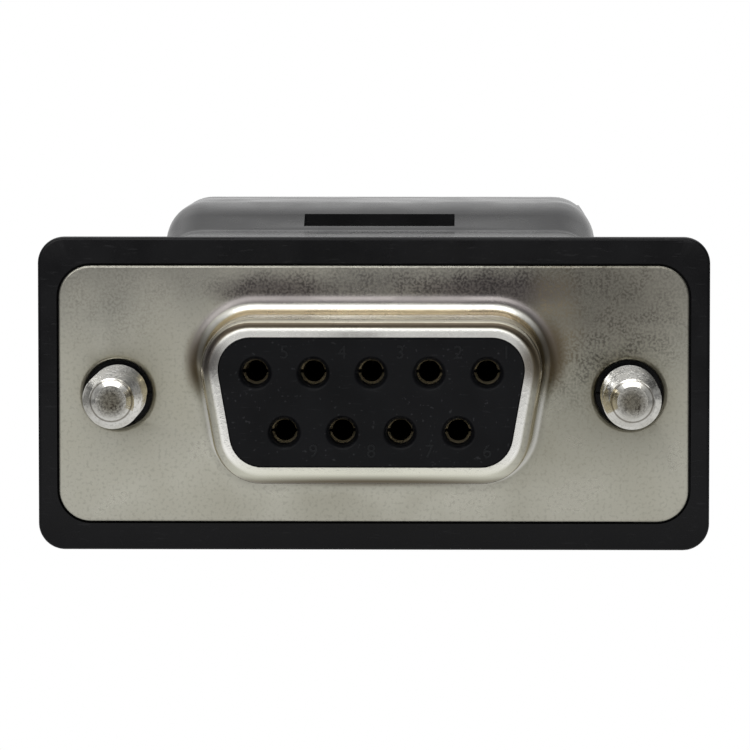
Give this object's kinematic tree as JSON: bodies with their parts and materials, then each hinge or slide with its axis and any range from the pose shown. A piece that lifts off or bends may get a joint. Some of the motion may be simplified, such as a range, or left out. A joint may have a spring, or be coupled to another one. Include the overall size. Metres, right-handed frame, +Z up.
{
  "type": "d-sub terminal block adapter",
  "caption": "Small black adapter with a D-shaped socket connector and two captive jackscrews on its front, and clamping screw terminals at its back.",
  "frame": {"origin": "centre of the connector flange, on its front face, midway between the two jackscrews", "axes": "+X to the right seen from the front, +Y back into the housing, +Z up with the wide side of the D on top"},
  "size_m": [0.0328, 0.0409, 0.0165],
  "materials": {
    "housing_plastic": "fine satin moulding texture",
    "insulator_plastic": "smooth moulded, slightly dull",
    "shell_nickel": "nickel plate, lightly mottled and worn",
    "screw_nickel": "bright nickel plate with scratched tips",
    "contact_gold": "gold flash",
    "board_laminate": "solder mask",
    "terminal_plastic": "smooth moulded",
    "terminal_screw_zinc": "zinc plate",
    "cage_steel": "nickel plate",
    "pin_tinned": "tin plate"
  },
  "bodies": {
    "housing": {"lower_shell": "housing_plastic", "upper_shell": "housing_plastic", "front_shell": "shell_nickel", "rear_shell": "shell_nickel", "front_insulator": "insulator_plastic", "rear_insulator": "insulator_plastic", "circuit_board": "board_laminate", "terminal_block_body": "terminal_plastic", "contact_1": "contact_gold", "contact_2": "contact_gold", "contact_3": "contact_gold", "contact_4": "contact_gold", "contact_5": "contact_gold", "contact_6": "contact_gold", "contact_7": "contact_gold", "contact_8": "contact_gold", "contact_9": "contact_gold", "terminal_pin_1": "pin_tinned", "terminal_pin_2": "pin_tinned", "terminal_pin_3": "pin_tinned", "terminal_pin_4": "pin_tinned", "terminal_pin_5": "pin_tinned"},
    "jackscrew_left": {"jackscrew_left": "screw_nickel"},
    "jackscrew_right": {"jackscrew_right": "screw_nickel"},
    "terminal_screw_1": {"terminal_screw_1": "terminal_screw_zinc"},
    "clamp_cage_1": {"clamp_cage_1": "cage_steel"},
    "terminal_screw_2": {"terminal_screw_2": "terminal_screw_zinc"},
    "clamp_cage_2": {"clamp_cage_2": "cage_steel"},
    "terminal_screw_3": {"terminal_screw_3": "terminal_screw_zinc"},
    "clamp_cage_3": {"clamp_cage_3": "cage_steel"},
    "terminal_screw_4": {"terminal_screw_4": "terminal_screw_zinc"},
    "clamp_cage_4": {"clamp_cage_4": "cage_steel"},
    "terminal_screw_5": {"terminal_screw_5": "terminal_screw_zinc"},
    "clamp_cage_5": {"clamp_cage_5": "cage_steel"}
  },
  "joints": [
    {"name": "jackscrew_left_spin", "type": "hinge", "parent": "housing", "child": "jackscrew_left", "pos_m": [-0.01249, 0, 0], "axis": [0, -1, 0], "continuous": true},
    {"name": "jackscrew_right_spin", "type": "hinge", "parent": "housing", "child": "jackscrew_right", "pos_m": [0.01249, 0, 0], "axis": [0, -1, 0], "continuous": true},
    {"name": "terminal_screw_1_turn", "type": "hinge", "parent": "housing", "child": "terminal_screw_1", "pos_m": [-0.00762, 0.0306, 0.006], "axis": [0, 0, -1], "range_deg": [0, 1080]},
    {"name": "clamp_cage_1_lift", "type": "slide", "parent": "housing", "child": "clamp_cage_1", "axis": [0, 0, 1], "range_m": [0, 0.0012]},
    {"name": "terminal_screw_2_turn", "type": "hinge", "parent": "housing", "child": "terminal_screw_2", "pos_m": [-0.00381, 0.0306, 0.006], "axis": [0, 0, -1], "range_deg": [0, 1080]},
    {"name": "clamp_cage_2_lift", "type": "slide", "parent": "housing", "child": "clamp_cage_2", "axis": [0, 0, 1], "range_m": [0, 0.0012]},
    {"name": "terminal_screw_3_turn", "type": "hinge", "parent": "housing", "child": "terminal_screw_3", "pos_m": [0, 0.0306, 0.006], "axis": [0, 0, -1], "range_deg": [0, 1080]},
    {"name": "clamp_cage_3_lift", "type": "slide", "parent": "housing", "child": "clamp_cage_3", "axis": [0, 0, 1], "range_m": [0, 0.0012]},
    {"name": "terminal_screw_4_turn", "type": "hinge", "parent": "housing", "child": "terminal_screw_4", "pos_m": [0.00381, 0.0306, 0.006], "axis": [0, 0, -1], "range_deg": [0, 1080]},
    {"name": "clamp_cage_4_lift", "type": "slide", "parent": "housing", "child": "clamp_cage_4", "axis": [0, 0, 1], "range_m": [0, 0.0012]},
    {"name": "terminal_screw_5_turn", "type": "hinge", "parent": "housing", "child": "terminal_screw_5", "pos_m": [0.00762, 0.0306, 0.006], "axis": [0, 0, -1], "range_deg": [0, 1080]},
    {"name": "clamp_cage_5_lift", "type": "slide", "parent": "housing", "child": "clamp_cage_5", "axis": [0, 0, 1], "range_m": [0, 0.0012]}
  ],
  "couplings": [
    {"joint": "terminal_screw_1_turn", "follows": "clamp_cage_1_lift", "rad_per_m": 15708},
    {"joint": "terminal_screw_2_turn", "follows": "clamp_cage_2_lift", "rad_per_m": 15708},
    {"joint": "terminal_screw_3_turn", "follows": "clamp_cage_3_lift", "rad_per_m": 15708},
    {"joint": "terminal_screw_4_turn", "follows": "clamp_cage_4_lift", "rad_per_m": 15708},
    {"joint": "terminal_screw_5_turn", "follows": "clamp_cage_5_lift", "rad_per_m": 15708}
  ]
}
